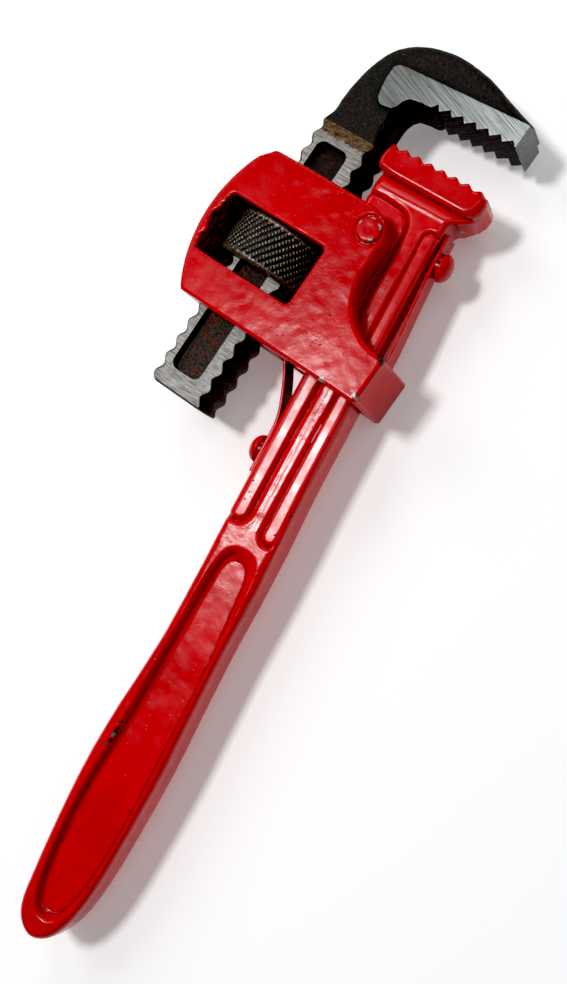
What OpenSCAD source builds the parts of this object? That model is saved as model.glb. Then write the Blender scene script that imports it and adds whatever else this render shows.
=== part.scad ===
// Stillson-pattern pipe wrench: forged handle with the fixed heel jaw, hook jaw on a threaded
// shank, knurled adjusting nut, pivoting housing with a strap loop, pivot rivet and two leaf springs.
// It lies on its side. +Z is up off the bench, +Y runs along the handle towards the jaws and +X is
// the side on which the jaws open. The origin is the pivot's axis on the housing's lower face.

/* [General] */
// Part to show, or all of them
// Thickness of the housing, from the resting face up
housing_t = 27.5; // [22:0.5:34]
// Lean of the housing and the hook jaw from the handle, degrees
lean = 6.2; // [0:0.1:12]

/* [Handle] */
// Thickness of the handle at its ribs
handle_t = 12.2; // [9:0.1:16]
// Thickness of the heel jaw
heel_t = 14.5; // [12:0.1:18]
// Number of teeth on the heel jaw
heel_teeth = 7; // [4:1:10]
// Spacing of the heel jaw's teeth
heel_pitch = 3.66; // [2:0.01:5]
// Depth of the heel jaw's teeth
heel_tooth_d = 1.1; // [0.5:0.1:2]
// Depth of the grooves beside the ribs
groove_d = 0.9; // [0.3:0.1:2]
// Width of the grooves beside the ribs
groove_w = 2.4; // [1:0.1:3]
// Depth of the recess in the grip
recess_d = 2.3; // [0.5:0.1:4]

/* [Hook jaw] */
// Thickness of the hook and its shank
hook_t = 12.4; // [9:0.1:16]
// Thickness across the ground jaw faces
boss_t = 14; // [12:0.1:18]
// Distance from the pivot to the shank's axis
shank_off = 22.8; // [18:0.1:30]
// Outer radius of the thread
thread_r = 10.1; // [8:0.1:12]
// Depth of the thread
thread_d = 0.98; // [0.5:0.01:1.6]
// Pitch of the thread
pitch = 5.25; // [3:0.05:7]
// Lower end of the shank, along the shank from the pivot
shank_end = -60; // [-70:0.5:-45]
// Top of the thread, along the shank from the pivot
thread_top = 20.2; // [15:0.1:25]
// Number of teeth on the hook jaw
hook_teeth = 7; // [4:1:10]
// Spacing of the hook jaw's teeth
hook_pitch = 3.62; // [2:0.01:5]
// Width of the pocket in the shank
pocket_w = 9.3; // [4:0.1:11]
// Depth of the pocket in the shank
pocket_d = 2.2; // [0.5:0.1:4]

/* [Nut] */
// Radius of the knurled nut
nut_r = 13.6; // [12:0.1:16]
// Height of the nut
nut_h = 12.6; // [8:0.1:15]
// Gap between the nut's thread and the shank's
nut_gap = 0.3; // [0.1:0.05:0.6]

/* [Housing] */
// Radius of the housing's curved back
back_r = 40; // [30:0.5:60]
// Width of the window for the nut
window_w = 30.4; // [28:0.1:36]
// Height of the window for the nut
window_h = 16.6; // [13:0.1:22]
// Gap between the two side plates
slot_t = 13.5; // [12.5:0.1:16]
// Radius of the pivot rivet
pivot_r = 3; // [2:0.1:5]
// Running clearance of the pivot rivet in the handle
pivot_gap = 0.05; // [0.01:0.01:0.1]

/* [Springs] */
// Width of the leaf springs
spring_w = 7; // [4:0.1:11]
// Thickness of the leaf springs
spring_t = 0.9; // [0.5:0.05:1.5]
// Radius of the spring rivets' heads
rivet_r = 3.8; // [2:0.1:4]
// Radius of those rivets' shanks
rivet_shank_r = 1.55; // [1:0.05:2]
// Height of the spring rivets' heads
rivet_h = 3.6; // [1:0.1:4]

/* [Hidden] */
$fn = 64;
red = [0.78, 0.05, 0.06];
dark = [0.2, 0.18, 0.17];
zc = housing_t / 2;
window_top = -9.1;
window_mid = -22.4;
nut_top = window_top - 0.4;
thread_mid = thread_r - thread_d / 2;
thread_phase = 4.3;
steps = 8;
strap_in = 19.7;
strap_out = 21.7;
front_rivet_y = 1.8;
back_rivet_y = -59.2;
front_side = 14.2;
back_side = -1.0;
seat_t = 0.5;
air = 0.04;

// ---------------------------------------------------------------- helpers

// Points of a circular arc from angle a0 to a1
function arc(c, r, a0, a1, n) = [for (i = [0:n]) let (a = a0 + (a1 - a0) * i / n) c + r * [cos(a), sin(a)]];

// Point on a smooth curve through four neighbouring points
function curve_point(a, b, c, d, t) =
    0.5 * (2 * b + (c - a) * t + (2 * a - 5 * b + 4 * c - d) * t * t + (3 * b - a - 3 * c + d) * t * t * t);

// Smooth closed curve through the points, n segments to each
function closed_curve(p, n) = let (m = len(p))
    [for (i = [0:m - 1]) for (j = [0:n - 1])
        curve_point(p[(i + m - 1) % m], p[i], p[(i + 1) % m], p[(i + 2) % m], j / n)];

// Smooth open curve through the points, n segments to each
function open_curve(p, n) = let (m = len(p))
    [for (i = [0:m - 2]) for (j = [0:(i == m - 2 ? n : n - 1)])
        curve_point(p[max(i - 1, 0)], p[i], p[i + 1], p[min(i + 2, m - 1)], j / n)];

function unit(v) = v / norm(v);
function left_of(v) = [-v[1], v[0]];

// Outline moved inwards by d, for a counter-clockwise outline
function inset(p, d) = let (m = len(p))
    [for (i = [0:m - 1])
        let (a = left_of(unit(p[i] - p[(i + m - 1) % m])), b = left_of(unit(p[(i + 1) % m] - p[i])))
        p[i] + d * (a + b) / max(1 + a * b, 0.6)];

// Band of thickness t along an open path
function band(p, t) = let (m = len(p),
    n = [for (i = [0:m - 1]) left_of(unit(p[min(i + 1, m - 1)] - p[max(i - 1, 0)]))])
    concat([for (i = [0:m - 1]) p[i] - n[i] * t / 2], [for (i = [m - 1:-1:0]) p[i] + n[i] * t / 2]);

// Solid through a list of rings with the same number of points each
module loft(rings) {
    n = len(rings[0]);
    m = len(rings);
    polyhedron(
        points = [for (r = rings) for (p = r) p],
        faces = concat(
            [[for (i = [0:n - 1]) i]],
            [for (k = [0:m - 2]) for (i = [0:n - 1]) let (j = (i + 1) % n)
                for (f = [[k * n + i, (k + 1) * n + i, (k + 1) * n + j],
                          [k * n + i, (k + 1) * n + j, k * n + j]]) f],
            [[for (i = [n - 1:-1:0]) (m - 1) * n + i]]));
}

// Slab over an outline; levels are [height, inset] pairs from the bottom up
module shaped_slab(outline, levels) {
    loft([for (l = levels) [for (p = inset(outline, l[1])) [p[0], p[1], l[0]]]]);
}

// Flat faces a distance t apart, cut through whatever is thicker
module flat_faces(t) {
    intersection() {
        union() children();
        translate([-80, -220, zc - t / 2]) cube([160, 300, t]);
    }
}

// Slab with rounded edges of radius r, a little thicker than t about the middle plane
module forged_slab(outline, t, r) {
    half = t / 2;
    side = concat([for (a = [0, 30, 60]) [half - r + r * sin(a), r * (1 - cos(a))]],
                  [[half + 0.054 * r, 1.2 * r]]);
    shaped_slab(outline, concat(
        [for (i = [3:-1:0]) [zc - side[i][0], side[i][1]]],
        [for (s = side) [zc + s[0], s[1]]]));
}

module rounded_box_2d(x0, x1, y0, y1, r) {
    polygon(concat(
        arc([x1 - r, y1 - r], r, 0, 90, 5), arc([x0 + r, y1 - r], r, 90, 180, 5),
        arc([x0 + r, y0 + r], r, 180, 270, 5), arc([x1 - r, y0 + r], r, 270, 360, 5)));
}

// Same shape cut into both faces of a part of thickness t, d deep
module both_faces(t, d) {
    for (z = [zc + t / 2 - d, zc - t / 2 - 5])
        translate([0, 0, z]) linear_extrude(d + 5) children();
}

// Radius of the helical thread at angle a and height v
function thread_at(a, v, extra) =
    thread_mid + extra + thread_d / 2 * cos(360 * (v - thread_phase) / pitch - a + 90);

// Ring of points round the shank at height v: both threaded edges, with the flats still to be cut
function shank_ring(v) =
    [for (a = concat([for (i = [6:-1:0]) -48 + 16 * i], [for (i = [6:-1:0]) 132 + 16 * i]))
        let (r = thread_at(a, v, 0)) [-shank_off + r * cos(a), v, zc + r * sin(a)]];

// ---------------------------------------------------------------- outlines

// Right edge of the handle from the neck to the end of the grip, then up the left edge
handle_edge = [
    [14.6, 19], [14.8, 14], [14.6, 9], [front_side, 4], [front_side, -10], [14.4, -25], [14.8, -45],
    [14.9, -65], [15.4, -78], [15.8, -92], [15.7, -110], [16.2, -127], [16.7, -143], [16.4, -160],
    [15.9, -172], [14.9, -181], [13.1, -188], [10.4, -192.6], [6.8, -194.6], [3.3, -193.8],
    [0.6, -191.2], [-0.9, -187], [-1.8, -179], [-2.6, -169], [-3.2, -158], [-3.4, -147], [-2.7, -133],
    [-1.6, -121], [-0.9, -110], [-0.8, -92], [back_side, -78], [back_side, -60], [back_side, -38],
    [back_side, -25], [-2.3, -18], [-5.3, -12.5], [-7.9, -7], [-8.6, 0], [-8.5, 9], [-8.1, 19]];
handle_outline = let (c = open_curve(handle_edge, 2)) [for (i = [len(c) - 1:-1:0]) c[i]];

// Rim of the grip's recess: down its left side, round its end, up its right side, over its top
recess_rim = [
    [2.0, -88], [1.7, -96], [1.1, -110], [0.8, -128], [0.3, -142], [-0.4, -152], [-0.5, -162],
    [0.1, -171.5], [0.9, -178.5], [2.2, -183.8], [4.2, -187.4], [7.2, -188.8], [10.2, -187.6],
    [12.5, -183.5], [13.8, -178], [14.5, -170], [14.8, -160], [15.0, -146], [14.5, -125],
    [14.1, -110], [14.1, -96], [13.8, -88], [12.2, -84.2], [9.4, -82.8], [6.4, -82.8], [3.6, -84.4]];
recess_levels = [[-recess_d, 1.5], [0.05, 0], [1, -0.6]];
recess_outline = closed_curve(recess_rim, 2);

// Heel jaw without its teeth, and the notch between two teeth
heel_outline = [
    [-8.7, 17.1], [-5, 16.2], [12.4, 14.5], [13.4, 10.9], [16.6, 11.7], [19.4, 13.8], [20.6, 16.4],
    [20.9, 18.6], [20.3, 20.2], [18.9, 21.3], [-5.4, 23.7], [-7.2, 22.9], [-8.5, 21.6], [-9.3, 19.8],
    [-9.3, 18.2]];
heel_notch = [[-1, 0.9], [-0.75, -0.1], [-0.35, -1], [0.1, -1], [0.7, -0.5], [1.1, 0.1], [1.4, 0.9]];

// Side plates of the housing in the shank's own frame
housing_outline = concat(
    [[strap_out - 0.9, -37.3], [strap_out, -36.6], [strap_out + 0.2, -25]],
    arc([20.4, -8.8], 15.7, -86, -178, 12),
    arc([-3.2, -2.2], 7.9, 0, 90, 9),
    [[-20, 5.7], [-31.8, 5.5]],
    arc([-32.4, 3.6], 1.9, 85, 155, 3),
    arc([-0.6, -15.6], back_r, 154, 210.5, 14),
    [[-34.2, -37]]);

// Outer edge of the hook, from the shank's right side round the nose to its left side
hook_outer = [
    [17, 43.4], [13.1, 44.7], [9.8, 45.7], [5.2, 47.4], [0.8, 48.8], [-3.3, 49.7], [-7.6, 50.2], [-10.6, 50.2],
    [-14, 49.8], [-17.1, 49.1], [-20.1, 48], [-22.4, 46.7], [-24.6, 44.9], [-26.5, 42.3], [-27.9, 39.6],
    [-28.9, 36.6], [-29.7, 33.2], [-30.1, 29.9], [-30.3, 26.5], [-30.3, 23.1], [-30.8, 19.7]];
hook_inner = [
    [-14.6, 19.7], [-14.4, 23.5], [-14.3, 27], [-14.3, 29.4], [-13.8, 31.7], [-12.6, 33.4],
    [-10.7, 34.4], [-7.6, 34.9], [-6.4, 37.2], [16.2, 38.6]];
tooth_line = 35.1;
function tooth_rise(u) = 0.045 * (u + 5);
hook_tooth_points = [for (i = [0:hook_teeth - 1]) let (u = -6.2 + i * hook_pitch)
    for (s = [[0, 1.45], [1.25, 0]]) [u + s[0], tooth_line + tooth_rise(u) + s[1]]];
boss_outline = concat(
    [[-16.4, 30], [-15.4, 31.1], [-14.6, 33.1], [-13.4, 34.3], [-10.6, 34.8], [-8, 34.9], [-7.2, 35.2]],
    hook_tooth_points,
    [[17, 36.4], [17.1, 42.4], [-19, 40.9], [-20.9, 40.6]],
    arc([-20.3, 38.8], 1.8, 110, 178, 3),
    [[-22.1, 36.5], [-21.8, 34], [-21.3, 31.8]],
    arc([-18.8, 32.2], 2.5, 195, 268, 4));

// ---------------------------------------------------------------- parts

module handle() {
    color(red) difference() {
        union() {
            flat_faces(handle_t) forged_slab(handle_outline, handle_t, 1.6);
            flat_faces(heel_t) forged_slab(heel_outline, heel_t, 1.0);
            translate([front_side - 2, front_rivet_y, zc]) rotate([0, 90, 0]) cylinder(r = 2.7, h = 2 + seat_t);
        }
        // teeth of the heel jaw
        for (i = [0:heel_teeth - 1]) translate([-5.4 + i * heel_pitch, 23.65 - 0.1 * i * heel_pitch, 0])
            linear_extrude(housing_t) polygon([for (p = heel_notch) [p[0], p[1] * heel_tooth_d]]);
        // coves below the heel jaw
        for (s = [-1, 1]) translate([3.5, 14.2, zc + s * (handle_t / 2 + 2.3)]) rotate([0, 0, -5.5])
            rotate([0, 90, 0]) cylinder(r = 3.1, h = 60, center = true);
        // grooves beside the ribs
        both_faces(handle_t, groove_d) {
            difference() {
                rounded_box_2d(-14, 3.1 + groove_w, -78.9, 10.4, 3.4);
                rounded_box_2d(-16, 3.1, -76.6, 8.4, 1.7);
            }
        }
        both_faces(handle_t, groove_d) {
            difference() {
                rounded_box_2d(10.75 - groove_w + 0.3, 26, -80.8, 8.8, 2.6);
                rounded_box_2d(10.75, 28, -78.9, 7.0, 1.4);
            }
        }
        // recess of the grip
        for (s = [-1, 1])
            shaped_slab(recess_outline, [for (l = s > 0 ? recess_levels : [for (i = [2:-1:0]) recess_levels[i]])
                [zc + s * (handle_t / 2 + l[0]), l[1]]]);
        translate([0, 0, -1]) cylinder(r = pivot_r + pivot_gap, h = housing_t + 2);
        translate([front_side - 5, front_rivet_y, zc]) rotate([0, 90, 0]) cylinder(r = rivet_shank_r, h = 20);
        translate([back_side + 5, back_rivet_y, zc]) rotate([0, -90, 0]) cylinder(r = rivet_shank_r, h = 20);
    }
}

module housing() {
    color(red) rotate([0, 0, -lean]) difference() {
        shaped_slab(housing_outline, [[0, 0.9], [0.3, 0.3], [1, 0],
            [housing_t - 1, 0], [housing_t - 0.3, 0.3], [housing_t, 0.9]]);
        // window for the nut
        translate([0, 0, -1]) linear_extrude(housing_t + 2)
            rounded_box_2d(window_mid - window_w / 2, window_mid + window_w / 2,
                           window_top - window_h, window_top, 1.2);
        // way for the threaded shank
        intersection() {
            translate([-shank_off, -45, zc]) rotate([-90, 0, 0]) cylinder(r = thread_r + 0.4, h = 60);
            translate([-50, -45, zc - slot_t / 2]) cube([60, 60, slot_t]);
        }
        // space between the side plates for the handle, past the web that the back spring rests on
        translate([0, 0, zc - slot_t / 2]) linear_extrude(slot_t) difference() {
            polygon([[-shank_off, -45], [strap_in, -45], [strap_in, -20], [40, -20], [40, 15],
                     [-shank_off, 15]]);
            translate([-11.4, -38]) square([2.8, 11]);
        }
        translate([0, 0, -1]) cylinder(r = pivot_r, h = housing_t + 2);
    }
}

module pivot_rivet() {
    color(red) rotate_extrude() polygon(concat(
        [[0, 0], [pivot_r, 0], [pivot_r, housing_t], [pivot_r + 0.2, housing_t]],
        [for (a = [0:15:90]) [pivot_r - 0.5 + 0.7 * cos(a), housing_t + 0.15 + 0.65 * sin(a)]],
        [[0, housing_t + 0.8]]));
}

module hook_jaw() {
    rows = ceil((thread_top - shank_end) / pitch * steps);
    color(dark) rotate([0, 0, -lean]) union() {
        difference() {
            flat_faces(hook_t) {
                loft([for (k = [0:rows]) shank_ring(shank_end + (thread_top - shank_end) * k / rows)]);
                forged_slab(concat(hook_inner, hook_outer), hook_t, 1.5);
            }
            both_faces(hook_t, pocket_d)
                rounded_box_2d(-shank_off - 0.9 - pocket_w / 2, -shank_off - 0.9 + pocket_w / 2, -54.4, 15, 2.2);
        }
        translate([0, 0, zc - boss_t / 2]) linear_extrude(boss_t) polygon(boss_outline);
    }
}

module adjusting_nut() {
    rows = ceil((nut_h + 2) / pitch * steps);
    low = nut_top - nut_h;
    color(dark) rotate([0, 0, -lean]) difference() {
        translate([-shank_off, low, zc]) rotate([-90, 0, 0]) rotate_extrude()
            polygon([[0, 0], [nut_r - 1, 0], [nut_r, 0.8], [nut_r, nut_h - 0.8], [nut_r - 1, nut_h], [0, nut_h]]);
        loft([for (k = [0:rows]) let (v = low - 1 + (nut_h + 2) * k / rows)
            [for (i = [0:35]) let (a = -i * 10, r = thread_at(a, v, nut_gap))
                [-shank_off + r * cos(a), v, zc + r * sin(a)]]]);
    }
}

// Flat strip following a path, with a rivet hole through it at height y
module leaf(path, y) {
    difference() {
        translate([0, 0, zc - spring_w / 2]) linear_extrude(spring_w) polygon(band(path, spring_t));
        translate([-40, y, zc]) rotate([0, 90, 0]) cylinder(r = rivet_shank_r, h = 80);
    }
}

module front_spring() {
    x = front_side + seat_t + air + spring_t / 2;
    color(red) leaf(open_curve([[x, 9.2], [x, 5], [x + 0.03, -2], [x + 0.35, -9], [x + 0.85, -17],
        [x + 1.15, -24], [x + 1.0, -29], [x + 0.4, -34]], 3), front_rivet_y);
}

module back_spring() {
    x = back_side - air - spring_t / 2;
    color(red) leaf(open_curve([[x, -65.4], [x, -60], [x - 0.02, -54], [x - 0.4, -50], [x - 1.55, -46.2],
        [x - 3.7, -41], [x - 5.8, -36.9], [x - 8, -32.6], [x - 9.6, -29.2]], 3), back_rivet_y);
}

// Round-headed rivet along +X, its head seated at x = 0
module side_rivet(shank) {
    rotate([0, 90, 0]) rotate_extrude() polygon(concat(
        [[0, -shank], [rivet_shank_r, -shank], [rivet_shank_r, 0], [rivet_r, 0]],
        [for (a = [0:10:90]) [rivet_r * cos(a), rivet_h * 0.15 + rivet_h * 0.85 * sin(a)]]));
}

module front_spring_rivet() {
    color(red) translate([front_side + seat_t + spring_t + 2 * air, front_rivet_y, zc])
        side_rivet(spring_t + seat_t + 4.5);
}

module back_spring_rivet() {
    color(red) translate([back_side - spring_t - 2 * air, back_rivet_y, zc]) mirror([1, 0, 0])
        side_rivet(spring_t + 4.5);
}

handle();
housing();
pivot_rivet();
hook_jaw();
adjusting_nut();
front_spring();
front_spring_rivet();
back_spring();
back_spring_rivet();
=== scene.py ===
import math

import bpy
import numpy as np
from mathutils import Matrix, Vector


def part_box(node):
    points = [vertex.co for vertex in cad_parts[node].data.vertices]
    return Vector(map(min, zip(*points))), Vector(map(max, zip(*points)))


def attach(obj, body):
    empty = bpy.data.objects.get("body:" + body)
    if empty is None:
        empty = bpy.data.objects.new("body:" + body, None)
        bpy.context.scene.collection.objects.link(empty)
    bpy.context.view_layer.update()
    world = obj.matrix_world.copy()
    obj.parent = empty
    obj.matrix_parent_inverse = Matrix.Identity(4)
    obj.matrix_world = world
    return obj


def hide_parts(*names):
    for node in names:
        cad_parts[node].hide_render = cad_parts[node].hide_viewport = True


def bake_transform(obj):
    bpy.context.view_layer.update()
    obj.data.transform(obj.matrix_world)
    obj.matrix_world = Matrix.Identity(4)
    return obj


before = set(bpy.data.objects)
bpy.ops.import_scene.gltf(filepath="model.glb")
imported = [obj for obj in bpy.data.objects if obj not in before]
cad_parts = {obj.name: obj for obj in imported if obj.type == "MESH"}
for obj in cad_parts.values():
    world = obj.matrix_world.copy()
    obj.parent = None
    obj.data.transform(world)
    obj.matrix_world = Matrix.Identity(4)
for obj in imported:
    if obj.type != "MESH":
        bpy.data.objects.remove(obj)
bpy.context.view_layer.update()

# Pipe wrench. Shapes are written as signed distance fields in millimetres and turned into meshes by
# dual contouring. Two frames are used, both with the pivot rivet at their origin: the handle's frame
# (x, y), which is the CAD's, and the housing's frame (u, v), which leans from it by LEAN, for the
# housing, the hook jaw and the nut. Heights are from the wrench's middle plane, at MID.

MM = 0.001

# ---------------------------------------------------------------- sizes, in millimetres


def half_height(node):
    """Half the height of a CAD node."""
    low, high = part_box(node)
    return round((high.z - low.z) / 2 / MM, 2)


MID = (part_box("housing")[0].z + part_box("housing")[1].z) / 2 / MM
LEAN = math.radians(6.2)
COS, SIN = math.cos(LEAN), math.sin(LEAN)

# half thicknesses, from the CAD where a node's height gives them
HOUSING_HALF = half_height("housing")
HEEL_HALF = half_height("handle")
BOSS_HALF = half_height("hook_jaw")
SPRING_HALF = half_height("front_spring")
SLOT_HALF, HANDLE_HALF = 6.75, 6.1
HOOK_HALF, FLAT_HALF = 6.3, 6.2

# shank and thread of the hook jaw, the pocket in its flats (a box, as below), and the nut round it
SHANK_U, SHANK_END, THREAD_TOP = -22.8, -60.0, 20.2
THREAD_MID, THREAD_D, PITCH, PHASE = 9.61, 0.98, 5.25, 4.3
POCKET, POCKET_DEPTH = (-28.35, -19.05, -54.4, 15.0, 2.2), 2.2
NUT_R, NUT_LOW, NUT_TOP, NUT_GAP = half_height("adjusting_nut"), -22.1, -9.5, 0.3
NUT_BORE_RIM, NUT_BEVEL = 11.2, 1.05
KNURL_MAIN, KNURL_CROSS, KNURL_LEAD, KNURL_DEPTH = 42, 78, 106.8, 0.40

# rivets and leaf springs: SEAT is the pad under the front spring, PIN the leaf rivets' shank and its
# hole, and AIR parts what only touches
PIVOT_R, PIVOT_HEAD_R, PIVOT_RING_R = 3.0, 3.2, 3.65
FRONT_SIDE, BACK_SIDE, SEAT, SEAT_R = 14.2, -1.0, 0.5, 2.7
SPRING_T, AIR = 0.9, 0.04
FRONT_RIVET_Y, BACK_RIVET_Y = 1.8, -59.2
RIVET_R, RIVET_H, RIVET_NECK, NECK_R = half_height("front_spring_rivet"), 3.6, 0.9, 3.25
PIN_R, PIN_LENGTH, PIN_HOLE = 1.5, 5.5, 5.0

# teeth of the two jaws: step, depth and where they start; the heel's crest slopes by HEEL_FALL
TOOTH_STEP, TEETH, TOOTH_DEPTH, TOOTH_U, TOOTH_V = 3.62, 7, 1.45, -6.2, 35.1
HEEL_TOOTH_STEP, HEEL_TOOTH_DEPTH, HEEL_TOOTH_X, HEEL_TOP, HEEL_FALL = 3.67, 1.05, -3.8, 23.62, 0.098

# the handle's faces: the cove under the heel jaw, the middle rib and the line scored in it, and the recess
COVE_Y, COVE_RUN, COVE_DROP = 12.5, 3.8, 1.7
RIB_X, RIB_DROP, SCORE_X, SCORE_DEPTH = 7.5, 0.10, 7.05, 0.04
RECESS_DEPTH = 2.2

# the housing: its slot for the handle, shut on the right by the strap and open there above it, the web
# that the back spring rests on, and the round way for the shank; a box is left, right, low, top, corner
SLOT = (SHANK_U, 19.7, -45.0, 15.0, 0.3)
SLOT_MOUTH = (SHANK_U, 40.0, -20.0, 15.0, 0.3)
WEB = (-11.4, -8.6, -38.0, -27.0, 0.3)
WAY_R = 10.5

# outlines: the handle, the heel jaw, its foot and the recess in (x, y), the rest in (u, v)
HANDLE_EDGE = [
    (14.6, 19), (14.8, 14), (14.6, 9), (FRONT_SIDE, 4), (FRONT_SIDE, -10), (14.4, -25), (14.8, -45),
    (14.9, -65), (15.4, -78), (15.8, -92), (15.7, -110), (16.2, -127), (16.7, -143), (16.4, -160),
    (15.9, -172), (14.9, -181), (13.1, -188), (10.4, -192.6), (6.8, -194.6), (3.3, -193.8),
    (0.6, -191.2), (-0.9, -187), (-1.8, -179), (-2.6, -169), (-3.2, -158), (-3.4, -147), (-2.7, -133),
    (-1.6, -121), (-0.9, -110), (-0.8, -92), (BACK_SIDE, -78), (BACK_SIDE, -60), (BACK_SIDE, -38),
    (BACK_SIDE, -25), (-2.3, -18), (-5.3, -12.5), (-7.9, -7), (-8.6, 0), (-8.5, 9), (-8.1, 19)]
HEEL = [
    (-8.7, 17.1), (-5, 16.2), (12.4, 14.5), (17.4, 14.0), (19.4, 14.6), (20.6, 16.4), (20.9, 18.6),
    (20.4, 20.6), (19.3, 22.6), (-5.4, 25.2), (-7.4, 24.2), (-8.7, 22.2), (-9.3, 19.8), (-9.3, 18.2)]
HEEL_FOOT = [(12, 18), (12.6, 14.4), (13.4, 10.9), (16.6, 11.7), (19.4, 13.8), (20.5, 16.4), (19.5, 18)]
RECESS_RIM = [
    (2.2, -89.5), (1.7, -96), (1.1, -110), (0.8, -128), (0.2, -142), (-0.5, -152), (-0.6, -162),
    (0.0, -171.5), (0.8, -178.5), (2.1, -184), (4.1, -187.6), (7.2, -189.0), (10.4, -187.8),
    (12.8, -183.6), (14.1, -178), (14.9, -170), (15.3, -160), (15.4, -150), (15.3, -140), (15.0, -125),
    (14.7, -110), (14.5, -96), (14.1, -88), (12.3, -84.1), (9.4, -82.8), (6.4, -82.9), (3.6, -84.9)]
RECESS_FLOOR = [
    (4.4, -91.4), (4.3, -96), (4.1, -103), (3.9, -110), (3.6, -120), (3.1, -130), (2.4, -140), (1.7, -150),
    (1.5, -160), (1.8, -171), (2.4, -178), (3.5, -183.2), (4.8, -185.8), (6.8, -186.8), (9.1, -185.8),
    (10.9, -183), (12.7, -175), (13.6, -165), (13.9, -156), (13.9, -148), (13.8, -136), (13.6, -124),
    (13.2, -114), (12.5, -104), (11.9, -97), (11.5, -92), (10.8, -88.8), (9.6, -87), (8.0, -86.4),
    (6.2, -86.9), (5.0, -88.6)]
WINDOW = [
    (-36.2, -9.2), (-7.9, -9.2), (-6.9, -10.2), (-7.0, -25.2), (-7.8, -26.1), (-35.0, -26.1),
    (-36.9, -25.4), (-37.3, -23.9), (-37.5, -21.2), (-38.3, -18.6), (-38.4, -17.0), (-37.9, -15.2),
    (-37.5, -13.4), (-36.9, -11)]
HOOK_OUTER = [
    (17, 43.4), (13.1, 44.6), (9.8, 45.7), (5.2, 47.4), (0.8, 48.8), (-3.3, 49.7), (-7.6, 50.2),
    (-10.6, 50.2), (-14, 49.8), (-17.1, 49.1), (-20.1, 48), (-22.4, 46.7), (-24.6, 44.9), (-26.5, 42.3),
    (-27.9, 39.6), (-28.9, 36.6), (-29.7, 33.2), (-30.1, 29.9), (-30.3, 26.5), (-30.3, 23.1), (-30.8, 19.7)]
HOOK_INNER = [
    (-14.6, 19.7), (-14.4, 23.5), (-14.3, 27), (-14.3, 29.4), (-13.8, 31.7), (-12.6, 33.4), (-10.7, 34.4),
    (-7.4, 34.9), (-6.4, 37.2), (16.2, 38.6)]
# the leaf springs' middle lines, x from where each is riveted
FRONT_LEAF = [(0, 9.2), (0, 5), (0.03, -2), (0.35, -9), (0.85, -17), (1.15, -24), (1.0, -29), (0.4, -34)]
BACK_LEAF = [(0, -65.4), (0, -60), (-0.02, -54), (-0.4, -50), (-1.55, -46.2), (-3.7, -41), (-5.8, -36.9),
             (-8, -32.6), (-9.6, -29.2)]

# ---------------------------------------------------------------- distance fields


def ease(a, b, t):
    """Smooth step: 0 where t is at a or before it, 1 from b on."""
    t = np.clip((t - a) / (b - a), 0.0, 1.0)
    return t * t * (3 - 2 * t)


def round_max(a, b, r):
    """Intersection of two fields, its edge rounded to radius r."""
    return np.minimum(np.maximum(a, b), -r) + np.hypot(np.maximum(a + r, 0), np.maximum(b + r, 0))


def round_min(a, b, r):
    """Union of two fields, its inner corner filled to radius r."""
    return -round_max(-a, -b, r)


def box_2d(x, y, x0, x1, y0, y1, r):
    """Rectangle with rounded corners."""
    qx = np.abs(x - (x0 + x1) / 2) - (x1 - x0) / 2 + r
    qy = np.abs(y - (y0 + y1) / 2) - (y1 - y0) / 2 + r
    return np.minimum(np.maximum(qx, qy), 0) + np.hypot(np.maximum(qx, 0), np.maximum(qy, 0)) - r


def smooth_path(points, n, closed=False):
    """Catmull-Rom curve through the points, n steps to each."""
    p = np.array(points, float)
    m = len(p)
    out = []
    for i in range(m if closed else m - 1):
        if closed:
            a, b, c, d = p[i - 1], p[i], p[(i + 1) % m], p[(i + 2) % m]
        else:
            a, b, c, d = p[max(i - 1, 0)], p[i], p[i + 1], p[min(i + 2, m - 1)]
        for j in range(n):
            t = j / n
            out.append(0.5 * (2 * b + (c - a) * t + (2 * a - 5 * b + 4 * c - d) * t ** 2
                              + (3 * b - a - 3 * c + d) * t ** 3))
    if not closed:
        out.append(p[-1])
    return np.array(out)


def arc(cx, cy, r, a0, a1, n):
    """Points of an arc from angle a0 to a1 in degrees, in n steps."""
    turns = np.radians(np.linspace(a0, a1, n + 1))
    return [(cx + r * math.cos(a), cy + r * math.sin(a)) for a in turns]


class Outline:
    """Signed distance to a closed outline, measured on a fine grid once and looked up from it."""

    def __init__(self, points, step=0.15, margin=5.0):
        p = np.array(points, float)
        self.step = step
        self.lo = p.min(0) - margin
        self.size = np.ceil((p.max(0) + margin - self.lo) / step).astype(int) + 1
        gx = (self.lo[0] + step * np.arange(self.size[0]))[:, None]
        gy = (self.lo[1] + step * np.arange(self.size[1]))[None, :]
        best = np.full(self.size, np.inf)
        inside = np.zeros(self.size, bool)
        for a, b in zip(p, np.roll(p, -1, axis=0)):
            e = b - a
            if e @ e < 1e-12:
                continue
            t = np.clip(((gx - a[0]) * e[0] + (gy - a[1]) * e[1]) / (e @ e), 0, 1)
            best = np.minimum(best, (gx - a[0] - t * e[0]) ** 2 + (gy - a[1] - t * e[1]) ** 2)
            if a[1] != b[1]:
                inside ^= ((a[1] > gy) != (b[1] > gy)) & (gx < a[0] + (gy - a[1]) * e[0] / e[1])
        self.values = np.sqrt(best) * np.where(inside, -1, 1)

    def __call__(self, x, y):
        fx = np.clip((x - self.lo[0]) / self.step, 0, self.size[0] - 1.001)
        fy = np.clip((y - self.lo[1]) / self.step, 0, self.size[1] - 1.001)
        i, j = fx.astype(int), fy.astype(int)
        s, t = fx - i, fy - j
        v = self.values
        return ((v[i, j] * (1 - s) + v[i + 1, j] * s) * (1 - t)
                + (v[i, j + 1] * (1 - s) + v[i + 1, j + 1] * s) * t)


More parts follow.
